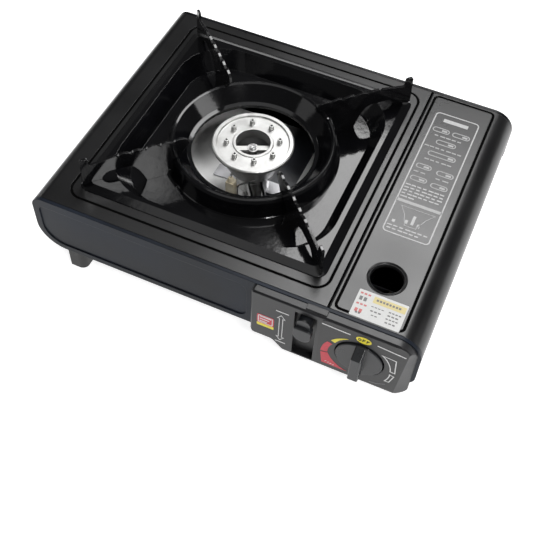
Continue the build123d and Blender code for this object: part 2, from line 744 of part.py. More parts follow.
def make_lever_guide():
    """Liner of the lever's recess: a back plate with the slot that guides the lever."""
    x_low = lever_x - recess_width / 2
    x_high = lever_x + recess_width / 2
    y_low = panel_y + panel_wall
    y_high = front_y
    liner = block(x_low - 1.5, x_high + 1.5, y_low, y_high,
                  panel_low + panel_wall, recess_high + 1.5)
    liner -= block(x_low, x_high, y_low - 1, y_high - 1.5, recess_low, recess_high)
    liner -= block(lever_x - guide_slot_width / 2, lever_x + guide_slot_width / 2,
                   y_low - 1, y_high + 1, guide_slot_low, guide_slot_high)
    return liner


def make_knob():
    """Knob: a flat disc with one tall upright grip across it and a hub for the stem."""
    radius = knob_diameter / 2
    disc_y = panel_y - disc_proud
    disc = rod_y(knob_x, knob_z, radius, disc_y, front_y - 2.5)
    disc = chamfer(disc.edges().group_by(Axis.Y)[0], 0.6)
    tip_y = disc_y - grip_proud
    side = [(disc_y + 1.0, radius - 0.4), (disc_y, radius - 0.4), (tip_y, radius * 0.70),
            (tip_y, -radius * 0.80), (tip_y + 3.0, -radius * 0.96), (disc_y + 1.0, -radius * 0.96)]
    grip_width = 8.6
    outline = make_face(Polyline(*[(y, knob_z + z) for y, z in side], close=True))
    grip = Plane(origin=(knob_x - grip_width / 2, 0, 0), x_dir=(0, 1, 0), z_dir=(1, 0, 0)) * outline
    grip = extrude(grip, amount=grip_width)
    edges = grip.edges().filter_by(Axis.X, reverse=True).filter_by(
        lambda edge: edge.center().Y < disc_y - 1.0)
    grip = fillet(edges, 1.1)
    hub = rod_y(knob_x, knob_z, 7.0, front_y - 2.5, front_y - 1.0)
    return disc + grip + hub - rod_y(knob_x, knob_z, stem_radius, panel_y + 1.0, front_y)


pad_width = 14.6
pad_low = lever_z - 10.0
pad_high = lever_z + 6.1
neck_width = 11.0
neck_high = lever_z + 15.6


def make_lever_pad():
    """Thumb pad of the cartridge lever with its stem through the guide's slot."""
    tip_y = panel_y - 7.0
    back_y = panel_y + 3.4
    outline = corner_box(lever_x - pad_width / 2, lever_x + pad_width / 2,
                         pad_low, pad_high, (7.0, 7.0, 2.0, 2.0))
    pad = along_y(outline, tip_y, panel_y - 1.0)
    pad = fillet(pad.edges().group_by(Axis.Y)[0], 1.0)
    neck = corner_box(lever_x - neck_width / 2, lever_x + neck_width / 2,
                      pad_low + 1.5, neck_high, (5.2, 5.2, 5.2, 5.2))
    pad += along_y(neck, tip_y + 2.5, back_y)
    stem = block(lever_x - 2.5, lever_x + 2.5, back_y, inner_front_y + 0.5, lever_z - 4, lever_z + 4)
    return pad + stem


def make_lever_plate():
    """Sliding plate behind the end plate, with the arm and the pin that drive the yoke."""
    y_low = inner_front_y + 0.5
    arm_x = partition_x - 3.5
    plate = block(lever_x - 8, arm_x + 1.5, y_low, y_low + 1.6, lever_z - 12, lever_z + 12)
    arm = block(arm_x, arm_x + 1.5, y_low, pin_y + 3.5, pin_z - 5, pin_z + 5)
    pin_end = partition_x + sheet + 1.4 + 1.6
    pin = Pos((arm_x + pin_end) / 2, pin_y, pin_z) * Rot(0, 90, 0) * Cylinder(
        pin_radius, pin_end - arm_x)
    return plate + arm + pin


rail_x = partition_x + sheet + 1.4


def make_yoke():
    """Rail along the bay with a slanted slot for the lever's pin and a pusher behind the cartridge."""
    rail_low = bottom_z + 2 * sheet + face_gap
    rail = block(rail_x, rail_x + 3.0, pin_y - 4.5, cartridge_rear_y + face_gap + 2.0,
                 rail_low, rail_low + 7.0)
    cheek = block(rail_x, rail_x + 1.2, pin_y - 4.5, pin_y + cartridge_travel + 3.2,
                  rail_low, pin_z + 6)
    run = hypot(cartridge_travel, lever_travel)
    slant = degrees(atan2(lever_travel, -cartridge_travel))
    slot = SlotCenterToCenter(run, 2 * (pin_radius + pin_gap), rotation=slant)
    middle_y = pin_y + cartridge_travel / 2
    middle_z = pin_z - lever_travel / 2
    cutter = extrude(Plane(origin=(rail_x - 1, middle_y, middle_z), x_dir=(0, 1, 0),
                           z_dir=(1, 0, 0)) * slot, amount=4)
    pusher_y = cartridge_rear_y + face_gap
    outline = Pos(cart_x, cart_z) * Circle(20.0)
    outline += Pos((rail_x + cart_x) / 2, rail_low + 8.0) * Rectangle(cart_x - rail_x, 16.0)
    pusher = along_y(outline, pusher_y, pusher_y + 2.0)
    return rail + cheek + pusher - cutter


def make_panel_screws():
    """Screws that hold the control panel's ends, driven from inside the body."""
    solids = []
    for x in (panel_screw_left, panel_screw_right):
        z = panel_screw_z
        head = rod_y(x, z, 3.0, inner_front_y, inner_front_y + 1.8)
        shank = rod_y(x, z, panel_screw_radius, panel_y + panel_wall, inner_front_y)
        solids.append(head + shank)
    return Compound(solids)


# ---------------------------------------------------------------------------
# Lid
# ---------------------------------------------------------------------------
hinge_tube = 2.2
hinge_rod_radius = 1.3
hinge_x = seam_x + 0.55 + hinge_tube
hinge_z = top_z - hinge_tube
lid_low_y = front_y + end_flange + face_gap
lid_high_y = rear_y - end_flange - face_gap
window_x = cart_x - 4.7
window_y = front_y + 47.5
window_radius = 13.0
window_groove = 16.1


def make_lid():
    """Bay lid: flat top rolled round its hinge rod at the left and down the side at the right."""
    outer = corner_box(hinge_x, right_x, sill_z + 1.0, top_z, (0, 0, radius_top_right, 0))
    inner = corner_box(hinge_x - 5, right_x - sheet, sill_z - 5, top_z - sheet,
                       (0, 0, radius_top_right - sheet, 0))
    section = outer - inner
    section += Pos(hinge_x, hinge_z) * Circle(hinge_tube)
    section -= Pos(hinge_x, hinge_z) * Circle(hinge_rod_radius + running_gap)
    lid = along_y(section, lid_low_y, lid_high_y)
    lid = pressed_bead(lid, seam_x + 5.15, right_x - radius_top_right + 0.5,
                       front_y + 5.9, rear_y - 5.9, 4.0)
    lid -= rod_y(hinge_x, hinge_z, hinge_rod_radius + running_gap, lid_low_y - 1, lid_high_y + 1)
    lid -= rod_z(window_x, window_y, window_groove, top_z - 3, top_z + 1)
    lip = turned([(window_groove, top_z - sheet), (window_groove, top_z), (window_groove - 1.3, top_z - 1.2),
                  (window_groove - 2.3, top_z - 0.2), (window_radius, top_z - 1.6),
                  (window_radius, top_z - 3.2), (window_radius + 0.8, top_z - 3.2),
                  (window_radius + 0.8, top_z - 2.0), (window_groove - 1.3, top_z - 2.2)],
                 window_x, window_y)
    return lid + lip


def make_hinge_rod():
    """Steel rod that the lid's rolled edge turns on."""
    return rod_y(hinge_x, hinge_z, hinge_rod_radius, inner_front_y, inner_rear_y)


def make_hinge_lugs():
    """Lugs on the end plates that carry the hinge rod's ends."""
    solids = []
    for y_low in (inner_front_y, inner_rear_y - 2.0):
        lug = block(hinge_x - 4, hinge_x + 4, y_low, y_low + 2.0, hinge_z - 5, top_z - sheet)
        solids.append(lug - rod_y(hinge_x, hinge_z, hinge_rod_radius, y_low - 1, y_low + 3))
    return Compound(solids)


# ---------------------------------------------------------------------------
# Pan support
# ---------------------------------------------------------------------------
flange_z = top_z + pan_rise
floor_z = top_z - pan_depth
pan_sheet = 1.0
ring_crest_radius = 69.5 * pan_scale
ring_crest_z = top_z + 5.7
ring_hole_radius = 54.0 * pan_scale
ring_hole_z = top_z - 10.0
ring_foot_radius = 75.5 * pan_scale
basin_radius = 45.0 * pan_scale


def make_support_pan():
    """Pressed enamelled pan: skirt, flat flange and square basin, open in the middle."""
    skirt_z = top_z + face_gap
    cap_out = loft([soft_square(pan_size, 9.0, skirt_z).face(),
                    soft_square(pan_size - 14, 7.0, flange_z).face()], ruled=True)
    cap_in = loft([soft_square(pan_size - 3, 8.5, skirt_z).face(),
                   soft_square(pan_size - 15.4, 6.3, flange_z - pan_sheet).face()], ruled=True)
    basin_out = loft([soft_square(pan_size - 20.4, basin_radius + 0.8, flange_z - 0.8).face(),
                      soft_square(pan_size - 40.4, basin_radius - 4.0, floor_z - pan_sheet).face()],
                     ruled=True)
    basin_in = loft([soft_square(pan_size - 22, basin_radius, flange_z).face(),
                     soft_square(pan_size - 42, basin_radius - 4.8, floor_z).face()], ruled=True)
    pan = (cap_out - cap_in) + basin_out - basin_in
    return pan - rod_z(pan_x, pan_y, ring_foot_radius - 2.6, floor_z - 5, floor_z + 5)


def make_burner_ring():
    """Raised enamelled ring round the burner: a steep fold whose hem lies on the pan's floor."""
    return turned([(ring_foot_radius + 1.0, floor_z), (ring_foot_radius, floor_z + 0.9),
                   (ring_crest_radius + 3.2, ring_crest_z - 3.0),
                   (ring_crest_radius + 1.6, ring_crest_z - 0.6),
                   (ring_crest_radius, ring_crest_z), (ring_crest_radius - 1.8, ring_crest_z - 0.7),
                   (ring_hole_radius + 3.5, ring_hole_z + 2.6), (ring_hole_radius, ring_hole_z + 1.4),
                   (ring_hole_radius, ring_hole_z - 1.6), (ring_hole_radius + 1.0, ring_hole_z - 1.6),
                   (ring_hole_radius + 1.0, ring_hole_z + 0.5), (ring_hole_radius + 4.1, ring_hole_z + 1.6),
                   (ring_crest_radius - 1.8, ring_crest_z - 2.0), (ring_crest_radius, ring_crest_z - 1.1),
                   (ring_crest_radius + 1.2, ring_crest_z - 1.6), (ring_foot_radius - 1.4, floor_z)],
                  pan_x, pan_y)


arm_thickness = 2.2
scallop_count = 5
scallop_pitch = 12.0


def arm_outline():
    """Side view of an arm: distance from the burner's axis across, height above the hob up."""
    points = [(57.0, 19.5), (58.5, 23.5)]
    for step in range(scallop_count):
        start = 58.5 + scallop_pitch * step
        points += [(start + 3.0, 25.6), (start + 7.0, 26.4), (start + 10.5, 25.9),
                   (start + scallop_pitch, 23.7)]
    points += [(121.0, 25.4), (139.0, 22.6), (141.5, 22.2), (142.6, 24.0), (143.0, arm_post_rise - 0.8),
               (144.4, arm_post_rise), (148.2, arm_post_rise), (149.4, arm_post_rise - 1.0),
               (150.6, 1.6), (148.0, 1.5), (143.4, pan_rise), (134.0, pan_rise), (132.6, 6.5),
               (129.6, 9.6), (126.0, 10.7), (111.0, 10.7), (106.0, 8.4), (102.0, 2.5), (98.6, -5.0),
               (96.4, -pan_depth), (79.0, -pan_depth), (73.6, 4.8), (71.4, 6.8), (69.5, 7.6),
               (66.4, 6.4), (61.5, 14.5)]
    return [(across * pan_scale, up) for across, up in points]


def make_arm(angle):
    """One pot support arm: a thin pressed blade standing on the pan, at an angle about the burner."""
    points = [(across, top_z + up) for across, up in arm_outline()]
    blade = extrude(Plane.XZ * make_face(Polyline(*points, close=True)), amount=arm_thickness / 2,
                    both=True)
    skirt = loft([Pos(0, 0, top_z + face_gap) * Rot(0, 0, 45) * RectangleRounded(
        pan_size, pan_size, 9.0).face(), Pos(0, 0, flange_z) * Rot(0, 0, 45) * RectangleRounded(
        pan_size - 14, pan_size - 14, 7.0).face()], ruled=True)
    return Pos(pan_x, pan_y, 0) * Rot(0, 0, angle) * (blade - skirt_cut(skirt))


def skirt_cut(skirt):
    """The part of the pan's skirt that lies under an arm's outer foot."""
    return skirt & block(130 * pan_scale, 160 * pan_scale, -5, 5, top_z, top_z + pan_rise)


pieces = {
    "base_shell": make_base_shell(),
    "front_plate": make_front_plate(),
    "rear_plate": make_rear_plate(),
    "top_plate": make_top_plate(),
    "partition": make_partition(),
    "reflector_plate": make_reflector(),
    "foot_front_left": make_foot(left_foot_x, foot_front, True),
    "foot_front_right": make_foot(right_foot_x, foot_front, False),
    "foot_rear_left": make_foot(left_foot_x, foot_rear - foot_depth, True),
    "foot_rear_right": make_foot(right_foot_x, foot_rear - foot_depth, False),
    "foot_screws": make_foot_screws(),
    "burner_cap": make_burner_cap(),
    "burner_cup": make_burner_cup(),
    "burner_screw": make_burner_screw(),
    "burner_bracket": make_burner_bracket(),
    "mixing_tube": make_mixing_tube(),
    "injector": make_injector(),
    "injector_bracket": make_injector_bracket(),
    "gas_pipe": make_gas_pipe(),
    "electrode_ceramic": make_electrode_ceramic(),
    "electrode_tip": make_electrode_tip(),
    "electrode_clip": make_electrode_clip(),
    "flame_rod": make_flame_rod(),
    "ignition_wire": make_ignition_wire(),
    "regulator_body": make_regulator_body(),
    "regulator_cover": make_regulator_cover(),
    "regulator_nozzle": make_regulator_nozzle(),
    "cartridge_stop": make_cartridge_stop(),
    "igniter_housing": make_igniter(),
    "igniter_plunger": make_igniter_plunger(),
    "valve_stem": make_valve_stem(),
    "ignition_cam": make_ignition_cam(),
    "knob": make_knob(),
    "control_panel": make_control_panel(),
    "lever_guide": make_lever_guide(),
    "lever_pad": make_lever_pad(),
    "lever_plate": make_lever_plate(),
    "cartridge_yoke": make_yoke(),
    "panel_screws": make_panel_screws(),
    "lid": make_lid(),
    "hinge_rod": make_hinge_rod(),
    "hinge_lugs": make_hinge_lugs(),
    "support_pan": make_support_pan(),
    "burner_ring": make_burner_ring(),
    "arm_front_left": make_arm(225),
    "arm_front_right": make_arm(315),
    "arm_rear_left": make_arm(135),
    "arm_rear_right": make_arm(45),
}

for node, shape in pieces.items():
    write(shape, node)
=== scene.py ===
"""Visual model of a portable cassette gas stove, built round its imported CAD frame."""

import bpy
import numpy as np
from mathutils import Matrix, Vector


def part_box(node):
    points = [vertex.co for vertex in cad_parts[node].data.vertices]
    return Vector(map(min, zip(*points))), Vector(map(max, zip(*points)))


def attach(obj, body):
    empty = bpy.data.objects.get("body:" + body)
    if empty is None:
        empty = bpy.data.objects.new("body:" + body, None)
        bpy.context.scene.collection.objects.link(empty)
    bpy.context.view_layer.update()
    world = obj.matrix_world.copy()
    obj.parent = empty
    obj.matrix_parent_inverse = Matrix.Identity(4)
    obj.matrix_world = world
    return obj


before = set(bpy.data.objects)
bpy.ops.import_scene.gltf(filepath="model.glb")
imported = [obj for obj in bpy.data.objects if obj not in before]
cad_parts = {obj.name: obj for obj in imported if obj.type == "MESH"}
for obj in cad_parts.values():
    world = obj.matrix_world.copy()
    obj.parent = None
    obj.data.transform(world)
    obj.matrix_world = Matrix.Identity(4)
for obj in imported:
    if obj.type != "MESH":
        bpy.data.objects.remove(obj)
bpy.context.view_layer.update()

# ---------------------------------------------------------------------------
# Painted body: bottom shell, end plates, hob plate and bay lid.
# Thin steel sheet, pressed and bent, then powder coated satin black. The coat
# has a very fine orange peel and a faint cloudy tone; on the front plate the
# colour runs in larger soft clouds from near black to a slightly blue dark grey.
# ---------------------------------------------------------------------------
mm = 0.001


def grain_group():
    """Group: Cloud is soft noise, Grain is fine noise plus a third as much at 2.7 times the scale."""
    tree = bpy.data.node_groups.new("surface_grain", "ShaderNodeTree")
    sockets = tree.interface
    sockets.new_socket("Vector", in_out="INPUT", socket_type="NodeSocketVector")
    sockets.new_socket("Cloud Scale", in_out="INPUT", socket_type="NodeSocketFloat")
    sockets.new_socket("Grain Scale", in_out="INPUT", socket_type="NodeSocketFloat")
    sockets.new_socket("Cloud", in_out="OUTPUT", socket_type="NodeSocketFloat")
    sockets.new_socket("Grain", in_out="OUTPUT", socket_type="NodeSocketFloat")
    start = tree.nodes.new("NodeGroupInput")
    end = tree.nodes.new("NodeGroupOutput")
    cloud = tree.nodes.new("ShaderNodeTexNoise")
    cloud.inputs["Detail"].default_value = 4.0
    fine = tree.nodes.new("ShaderNodeTexNoise")
    fine.inputs["Detail"].default_value = 2.0
    finer = tree.nodes.new("ShaderNodeTexNoise")
    larger = tree.nodes.new("ShaderNodeMath")
    larger.operation = "MULTIPLY"
    larger.inputs[1].default_value = 2.7
    total = tree.nodes.new("ShaderNodeMath")
    total.operation = "MULTIPLY_ADD"
    total.inputs[1].default_value = 0.33
    tree.links.new(start.outputs["Vector"], cloud.inputs["Vector"])
    tree.links.new(start.outputs["Vector"], fine.inputs["Vector"])
    tree.links.new(start.outputs["Vector"], finer.inputs["Vector"])
    tree.links.new(start.outputs["Cloud Scale"], cloud.inputs["Scale"])
    tree.links.new(start.outputs["Grain Scale"], fine.inputs["Scale"])
    tree.links.new(start.outputs["Grain Scale"], larger.inputs[0])
    tree.links.new(larger.outputs[0], finer.inputs["Scale"])
    tree.links.new(finer.outputs["Fac"], total.inputs[0])
    tree.links.new(fine.outputs["Fac"], total.inputs[2])
    tree.links.new(cloud.outputs["Fac"], end.inputs["Cloud"])
    tree.links.new(total.outputs[0], end.inputs["Grain"])
    return tree


surface_grain = grain_group()


def finish(name, dark, light, roughness, cloud_scale, grain_scale, grain_depth,
           metallic=0.0, coat=0.0, round_edge=0.35 * mm, stretch=(1.0, 1.0, 1.0), centre=(0, 0, 0),
           specular=0.5):
    """Material: colour runs from dark to light and roughness from low to high with the cloud noise,
    and the grain noise lifts the surface by grain_depth on top of edges rounded by round_edge."""
    material = bpy.data.materials.new(name)
    material.use_nodes = True
    tree = material.node_tree
    shader = tree.nodes["Principled BSDF"]
    place = tree.nodes.new("ShaderNodeTexCoord")
    mapping = tree.nodes.new("ShaderNodeMapping")
    mapping.inputs["Location"].default_value = [-c * s for c, s in zip(centre, stretch)]
    mapping.inputs["Scale"].default_value = stretch
    grain = tree.nodes.new("ShaderNodeGroup")
    grain.node_tree = surface_grain
    grain.inputs["Cloud Scale"].default_value = cloud_scale
    grain.inputs["Grain Scale"].default_value = grain_scale
    spread = tree.nodes.new("ShaderNodeMapRange")
    spread.inputs["From Min"].default_value = 0.3
    spread.inputs["From Max"].default_value = 0.7
    colour = tree.nodes.new("ShaderNodeMix")
    colour.data_type = "RGBA"
    colour.inputs["A"].default_value = (*dark, 1.0)
    colour.inputs["B"].default_value = (*light, 1.0)
    rough = tree.nodes.new("ShaderNodeMapRange")
    rough.inputs["To Min"].default_value = roughness[0]
    rough.inputs["To Max"].default_value = roughness[1]
    edge = tree.nodes.new("ShaderNodeBevel")
    edge.samples = 6
    edge.inputs["Radius"].default_value = round_edge
    bump = tree.nodes.new("ShaderNodeBump")
    bump.inputs["Distance"].default_value = grain_depth
    tree.links.new(place.outputs["Object"], mapping.inputs["Vector"])
    tree.links.new(mapping.outputs["Vector"], grain.inputs["Vector"])
    tree.links.new(grain.outputs["Cloud"], spread.inputs["Value"])
    tree.links.new(spread.outputs["Result"], colour.inputs["Factor"])
    tree.links.new(spread.outputs["Result"], rough.inputs["Value"])
    tree.links.new(grain.outputs["Grain"], bump.inputs["Height"])
    tree.links.new(edge.outputs["Normal"], bump.inputs["Normal"])
    tree.links.new(colour.outputs["Result"], shader.inputs["Base Color"])
    tree.links.new(rough.outputs["Result"], shader.inputs["Roughness"])
    tree.links.new(bump.outputs["Normal"], shader.inputs["Normal"])
    shader.inputs["Metallic"].default_value = metallic
    shader.inputs["Coat Weight"].default_value = coat
    shader.inputs["Coat Roughness"].default_value = 0.04
    shader.inputs["Specular IOR Level"].default_value = specular
    return material


def dress(material, *nodes):
    """Give CAD nodes one material on all their slots."""
    for node in nodes:
        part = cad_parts[node]
        if not part.material_slots:
            part.data.materials.append(material)
        for slot in part.material_slots:
            slot.material = material


powder_black = finish("powder_black", (0.003, 0.003, 0.0035), (0.006, 0.006, 0.0065), (0.26, 0.34),
                      14.0, 1500.0, 0.022 * mm, specular=0.55)
dress(powder_black, "top_plate", "lid")
plate_black = finish("plate_black", (0.002, 0.002, 0.0025), (0.008, 0.009, 0.012), (0.18, 0.32),
                     16.0, 1300.0, 0.018 * mm, specular=0.34)
dress(plate_black, "rear_plate", "base_shell")
dress(finish("front_black", (0.0015, 0.002, 0.003), (0.014, 0.019, 0.030), (0.26, 0.44), 11.0, 1300.0,
             0.018 * mm, specular=0.16, round_edge=0.7 * mm), "front_plate")

# ---------------------------------------------------------------------------
# Pressed beads of the hob plate and the lid: a dull, quite black skin lies in the
# bottom of each press mark, painted shade for the dark line the bead shows.
# ---------------------------------------------------------------------------


corner_steps = 13               # points round each corner of a bead


def bead_shade_ring(name, low_x, high_x, low_y, high_y, radius, width, low, high, material, body):
    """Closed ring of painted shade lying in a bead: a rectangle section carried round a rounded rectangle,
    whose points are corner centre + (radius +- width / 2) * (cos, sin) over a quarter turn at each corner."""
    steps = 4 * corner_steps
    quarter = np.radians(np.linspace(0, 90, corner_steps))
    starts = np.radians([0, 90, 180, 270])[:, None]
    turn = (starts + quarter[None, :]).ravel()
    at_x = np.repeat([high_x - radius, low_x + radius, low_x + radius, high_x - radius], corner_steps)
    at_y = np.repeat([high_y - radius, high_y - radius, low_y + radius, low_y + radius], corner_steps)
    section = ((radius + width / 2, low), (radius + width / 2, high),
               (radius - width / 2, high), (radius - width / 2, low))
    rows = [np.stack([at_x + span * np.cos(turn), at_y + span * np.sin(turn), np.full(steps, level)], 1)
            for span, level in section]
    points = np.stack(rows, 1).reshape(-1, 3)
    index = np.arange(steps * 4).reshape(steps, 4)
    ahead = np.roll(index, -1, 0)
    quads = np.stack([index, ahead, np.roll(ahead, -1, 1), np.roll(index, -1, 1)], 2).reshape(-1, 4)
    mesh = bpy.data.meshes.new(name)
    mesh.from_pydata(points.tolist(), [], quads.tolist())
    mesh.materials.append(material)
    piece = bpy.data.objects.new(name, mesh)
    bpy.context.scene.collection.objects.link(piece)
    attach(piece, body)
    return piece


pan_low, pan_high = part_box("support_pan")
plate_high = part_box("top_plate")[1]
lid_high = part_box("lid")[1]
rear_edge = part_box("rear_plate")[1].y
front_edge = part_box("front_plate")[0].y
# Dull black skins in the beads are painted shade, for the dark lines the bead grooves show.
bead_shade_black = finish("bead_shade_black", (0.0008, 0.0008, 0.0008), (0.0016, 0.0016, 0.0016), (0.80, 0.95),
                      30.0, 900.0, 0.02 * mm, specular=0.05, round_edge=0.1 * mm)
bead_wide = 2.26 * mm
bead_floor = plate_high.z - 0.95 * mm
shade_top = plate_high.z - 0.28 * mm
bead_shade_ring("hob_bead_shade", pan_low.x - 4.7 * mm, pan_high.x + 4.7 * mm, pan_low.y - 9.0 * mm,
          pan_high.y + 9.0 * mm, 12.0 * mm, bead_wide, bead_floor, shade_top, bead_shade_black,
          "stove_body")
bead_shade_ring("lid_bead_shade", plate_high.x + 5.15 * mm, lid_high.x - 19.5 * mm, front_edge + 5.9 * mm,
          rear_edge - 5.9 * mm, 4.0 * mm, bead_wide, bead_floor, shade_top, bead_shade_black, "bay_lid")

# ---------------------------------------------------------------------------
# Pan support: pan, burner ring and four arms.
# Steel pressings dipped in black vitreous enamel and fired: deep black, wet
# gloss, with the long soft waves that fired glass leaves on thin sheet.
# ---------------------------------------------------------------------------
enamel = finish("black_enamel", (0.002, 0.002, 0.0025), (0.004, 0.004, 0.005), (0.07, 0.13),
                30.0, 160.0, 0.05 * mm, coat=0.15, round_edge=0.5 * mm, specular=0.35)
dress(enamel, "support_pan", "burner_ring")
enamel_arms = finish("black_enamel_arms", (0.003, 0.003, 0.0035), (0.007, 0.007, 0.008), (0.10, 0.17),
                     60.0, 350.0, 0.04 * mm, coat=0.4, round_edge=0.6 * mm)
dress(enamel_arms, "arm_front_left", "arm_front_right", "arm_rear_left", "arm_rear_right")

# ---------------------------------------------------------------------------
# Burner: aluminium head and cup with their screw.
# The head is turned bright after casting, so it carries fine rings round the
# burner's axis. The cup below keeps its duller cast skin.
# ---------------------------------------------------------------------------
cap_low, cap_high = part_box("burner_cap")
burner_axis = (cap_low + cap_high) / 2


def turned_metal(name, dark, light, roughness, ring_pitch, ring_depth):
    """Metal turned about the burner's axis: height is a saw of the distance from that axis."""
    material = finish(name, dark, light, roughness, 90.0, 1600.0, 0.01 * mm, metallic=1.0,
                      centre=(burner_axis.x, burner_axis.y, 0.0))
    tree = material.node_tree
    shader = tree.nodes["Principled BSDF"]
    mapping = [node for node in tree.nodes if node.bl_idname == "ShaderNodeMapping"][0]
    rings = tree.nodes.new("ShaderNodeTexWave")
    rings.wave_type = "RINGS"
    rings.rings_direction = "Z"
    rings.inputs["Scale"].default_value = 1.0 / ring_pitch / 3.14
    rings.inputs["Distortion"].default_value = 0.15
    groove = tree.nodes.new("ShaderNodeBump")
    groove.inputs["Distance"].default_value = ring_depth
    first = shader.inputs["Normal"].links[0].from_socket
    tree.links.new(mapping.outputs["Vector"], rings.inputs["Vector"])
    tree.links.new(rings.outputs["Fac"], groove.inputs["Height"])
    tree.links.new(first, groove.inputs["Normal"])
    tree.links.new(groove.outputs["Normal"], shader.inputs["Normal"])
    return material


dress(turned_metal("turned_aluminium", (0.50, 0.50, 0.49), (0.66, 0.66, 0.65), (0.36, 0.48),
                   0.5 * mm, 0.008 * mm), "burner_cap")
dress(turned_metal("cast_cup", (0.30, 0.30, 0.30), (0.44, 0.44, 0.44), (0.34, 0.46),
                   1.3 * mm, 0.012 * mm), "burner_cup")
dress(finish("bright_screw", (0.62, 0.62, 0.63), (0.80, 0.80, 0.80), (0.16, 0.26), 220.0, 2500.0,
             0.006 * mm, metallic=1.0), "burner_screw")

# ---------------------------------------------------------------------------
# Bright reflector, mixing tube and the rods under the burner.
# Rolled bright steel: the rolling leaves long faint lines along the sheet. Its near-white colour
# is painted reflection of the bright studio, and right of the burner it is painted dark, a painted
# reflection of the dark ring above, apart from the ribs that stand up, which stay light.
# ---------------------------------------------------------------------------
reflector_steel = finish("rolled_bright_steel", (0.92, 0.92, 0.91), (0.99, 0.99, 0.98), (0.30, 0.44),
                         9.0, 260.0, 0.02 * mm, stretch=(6.0, 1.0, 1.0))


def paint_dark_reflection(material, start, stop, low, high, tint):
    """Painted dark reflection on part of a sheet: the dark colour comes in between two X places, but not
    above a height.
    """
    tree = material.node_tree
    shader = tree.nodes["Principled BSDF"]
    place = tree.nodes.new("ShaderNodeTexCoord")
    split = tree.nodes.new("ShaderNodeSeparateXYZ")
    along = tree.nodes.new("ShaderNodeMapRange")
    along.interpolation_type = "SMOOTHSTEP"
    along.inputs["From Min"].default_value = start
    along.inputs["From Max"].default_value = stop
    above = tree.nodes.new("ShaderNodeMapRange")
    above.inputs["From Min"].default_value = low
    above.inputs["From Max"].default_value = high
    above.inputs["To Min"].default_value = 1.0
    above.inputs["To Max"].default_value = 0.0
    both = tree.nodes.new("ShaderNodeMath")
    both.operation = "MULTIPLY"
    mix = tree.nodes.new("ShaderNodeMix")
    mix.data_type = "RGBA"
    mix.inputs["B"].default_value = (*tint, 1.0)
    first = shader.inputs["Base Color"].links[0].from_socket
    tree.links.new(place.outputs["Object"], split.inputs["Vector"])
    tree.links.new(split.outputs["X"], along.inputs["Value"])
    tree.links.new(split.outputs["Z"], above.inputs["Value"])
    tree.links.new(along.outputs["Result"], both.inputs[0])
    tree.links.new(above.outputs["Result"], both.inputs[1])
    tree.links.new(both.outputs["Value"], mix.inputs["Factor"])
    tree.links.new(first, mix.inputs["A"])
    tree.links.new(mix.outputs["Result"], shader.inputs["Base Color"])


reflector_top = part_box("reflector_plate")[1].z
# Painted reflection: right of the burner the sheet is painted near black, as a mirror shows the dark ring
# above it; the standing ribs stay light.
paint_dark_reflection(reflector_steel, burner_axis.x + 2 * mm, burner_axis.x + 16 * mm, reflector_top - 1.2 * mm,
          reflector_top - 0.8 * mm, (0.035, 0.037, 0.045))
dress(reflector_steel, "reflector_plate")
dress(finish("drawn_bright_steel", (0.52, 0.52, 0.52), (0.74, 0.74, 0.73), (0.14, 0.28), 60.0, 700.0,
             0.01 * mm, metallic=1.0, stretch=(1.0, 4.0, 1.0)),
      "mixing_tube", "flame_rod", "electrode_tip", "hinge_rod")

# ---------------------------------------------------------------------------
# Zinc plated steel: brackets, clip, hinge lugs, lever plate and screws; dark sheet for partition, stop and
# yoke.
# Sheet blanks with a thin bright zinc plate, which clouds with handling.
# ---------------------------------------------------------------------------
dress(finish("zinc_plate", (0.34, 0.34, 0.35), (0.52, 0.52, 0.54), (0.28, 0.46), 45.0, 900.0,
             0.012 * mm, metallic=1.0),
      "burner_bracket", "injector_bracket", "electrode_clip", "hinge_lugs",
      "foot_screws", "panel_screws", "lever_plate")
dress(finish("dark_sheet", (0.010, 0.010, 0.012), (0.024, 0.025, 0.028), (0.30, 0.42), 25.0, 900.0,
             0.012 * mm), "partition", "cartridge_yoke", "cartridge_stop")

# ---------------------------------------------------------------------------
# Gas fittings: regulator, its cover, brass nozzle, injector, pipe and stem.
# The regulator is die cast and dull. The fittings are cut from brass bar.
# ---------------------------------------------------------------------------
dress(finish("die_casting", (0.10, 0.10, 0.11), (0.20, 0.20, 0.21), (0.38, 0.52), 120.0, 1100.0,
             0.03 * mm, metallic=1.0), "regulator_body")
dress(finish("cover_plate", (0.02, 0.02, 0.022), (0.05, 0.05, 0.055), (0.30, 0.40), 60.0, 900.0,
             0.012 * mm, metallic=0.6), "regulator_cover")
dress(finish("brass_bar", (0.52, 0.36, 0.14), (0.78, 0.58, 0.27), (0.18, 0.32), 150.0, 1400.0,
             0.01 * mm, metallic=1.0, stretch=(1.0, 3.0, 1.0)),
      "regulator_nozzle", "injector", "gas_pipe", "valve_stem", "igniter_plunger")

# ---------------------------------------------------------------------------
# Spark electrode and its lead.
# Cream glazed ceramic with tiny dark specks, and a pale silicone sleeve.
# ---------------------------------------------------------------------------
dress(finish("glazed_ceramic", (0.62, 0.53, 0.36), (0.82, 0.76, 0.60), (0.12, 0.22), 160.0, 1800.0,
             0.01 * mm, coat=0.4), "electrode_ceramic")
dress(finish("silicone_sleeve", (0.55, 0.54, 0.50), (0.72, 0.71, 0.67), (0.50, 0.62), 80.0, 1200.0,
             0.02 * mm), "ignition_wire")

